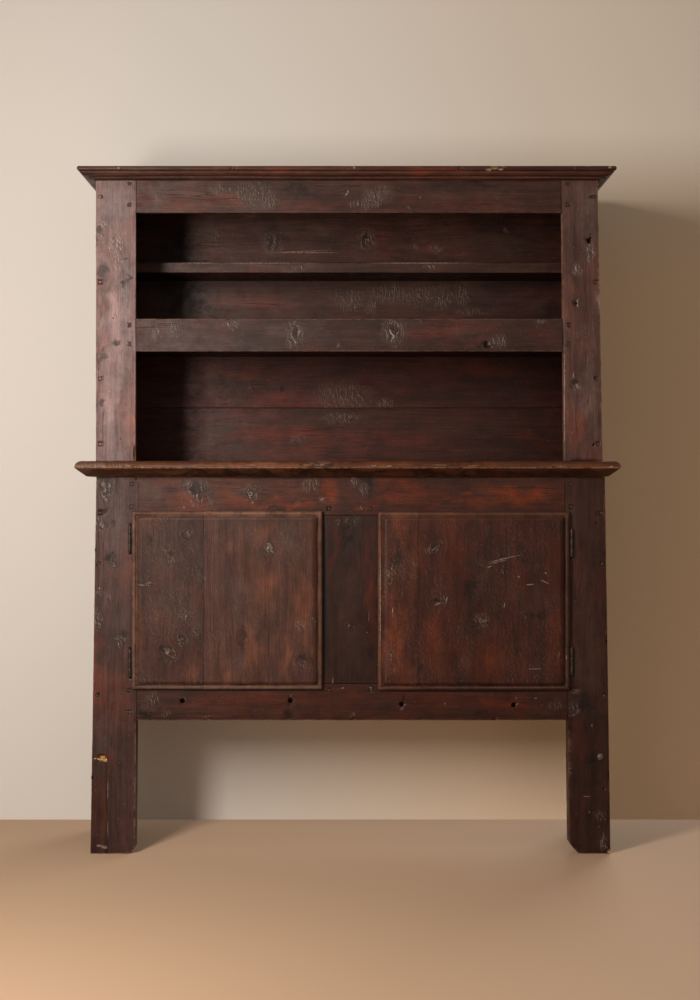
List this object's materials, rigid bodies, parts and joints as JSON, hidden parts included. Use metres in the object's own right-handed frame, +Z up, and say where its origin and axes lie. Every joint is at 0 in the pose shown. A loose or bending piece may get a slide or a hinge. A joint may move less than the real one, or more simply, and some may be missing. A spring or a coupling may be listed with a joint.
{
  "type": "sideboard",
  "caption": "Old stained pine sideboard: open rack with shelves and moulded cornice above a two-door cupboard on tall plank legs, the lipped doors hinged at their outer edges.",
  "frame": {"origin": "on the floor, under the middle of the counter board", "axes": "+Z up, -Y towards the front (the doors), +X to the right seen from the front"},
  "size_m": [1.464, 0.444, 1.851],
  "materials": {
    "base_pine": "dark stained old pine, waxed and rubbed",
    "rack_pine": "dark stained old pine, greyed and scuffed",
    "rack_back_pine": "dark red-brown stained pine boards",
    "counter_pine": "red-brown stained pine with worn nosing",
    "cornice_pine": "dark stained moulded pine",
    "left_door_pine": "grey-brown stained pine boards with worn bead",
    "right_door_pine": "red-brown stained pine boards",
    "inner_pine": "dry unfinished old pine",
    "pegs": "dark riven wood",
    "iron": "dark forged iron"
  },
  "bodies": {
    "carcase": {"back_nails": "iron", "base_back_low": "inner_pine", "base_back_middle": "inner_pine", "base_back_top": "inner_pine", "base_bottom_rail": "base_pine", "base_centre_stile": "base_pine", "base_left_side": "base_pine", "base_left_stile": "base_pine", "base_right_side": "base_pine", "base_right_stile": "base_pine", "base_top_rail": "base_pine", "cornice_front": "cornice_pine", "cornice_left_return": "cornice_pine", "cornice_nails": "iron", "cornice_right_return": "cornice_pine", "counter_front_board": "counter_pine", "counter_rear_board": "counter_pine", "cupboard_floor_front": "inner_pine", "cupboard_floor_rear": "inner_pine", "cupboard_shelf": "inner_pine", "frame_nails": "iron", "frieze_rail": "cornice_pine", "hinge_pins": "iron", "joint_pegs": "pegs", "left_foot_patch": "base_pine", "left_lower_frame_leaf": "iron", "left_upper_frame_leaf": "iron", "mid_rail": "rack_pine", "mid_shelf": "rack_pine", "rack_back_low": "rack_back_pine", "rack_back_middle": "rack_back_pine", "rack_back_top": "rack_back_pine", "rack_back_upper": "rack_back_pine", "rack_left_side": "rack_pine", "rack_left_stile": "rack_pine", "rack_right_side": "rack_pine", "rack_right_stile": "rack_pine", "right_lower_frame_leaf": "iron", "right_upper_frame_leaf": "iron", "roof_front_board": "inner_pine", "roof_nails": "iron", "roof_rear_board": "inner_pine", "shelf_cleats": "inner_pine", "upper_shelf": "rack_pine"},
    "left_door": {"left_door_hinge_board": "left_door_pine", "left_door_lower_ledge": "inner_pine", "left_door_meeting_board": "left_door_pine", "left_door_nails": "iron", "left_door_upper_ledge": "inner_pine", "left_lower_door_leaf": "iron", "left_upper_door_leaf": "iron"},
    "right_door": {"right_door_hinge_board": "right_door_pine", "right_door_lower_ledge": "inner_pine", "right_door_meeting_board": "right_door_pine", "right_door_nails": "iron", "right_door_upper_ledge": "inner_pine", "right_lower_door_leaf": "iron", "right_upper_door_leaf": "iron"}
  },
  "joints": [
    {"name": "left_door_hinge", "type": "hinge", "parent": "carcase", "child": "left_door", "pos_m": [-0.588, -0.1826, 0.685], "axis": [0, 0, -1], "range_deg": [0, 135]},
    {"name": "right_door_hinge", "type": "hinge", "parent": "carcase", "child": "right_door", "pos_m": [0.6045, -0.1826, 0.683], "axis": [0, 0, 1], "range_deg": [0, 135]}
  ]
}
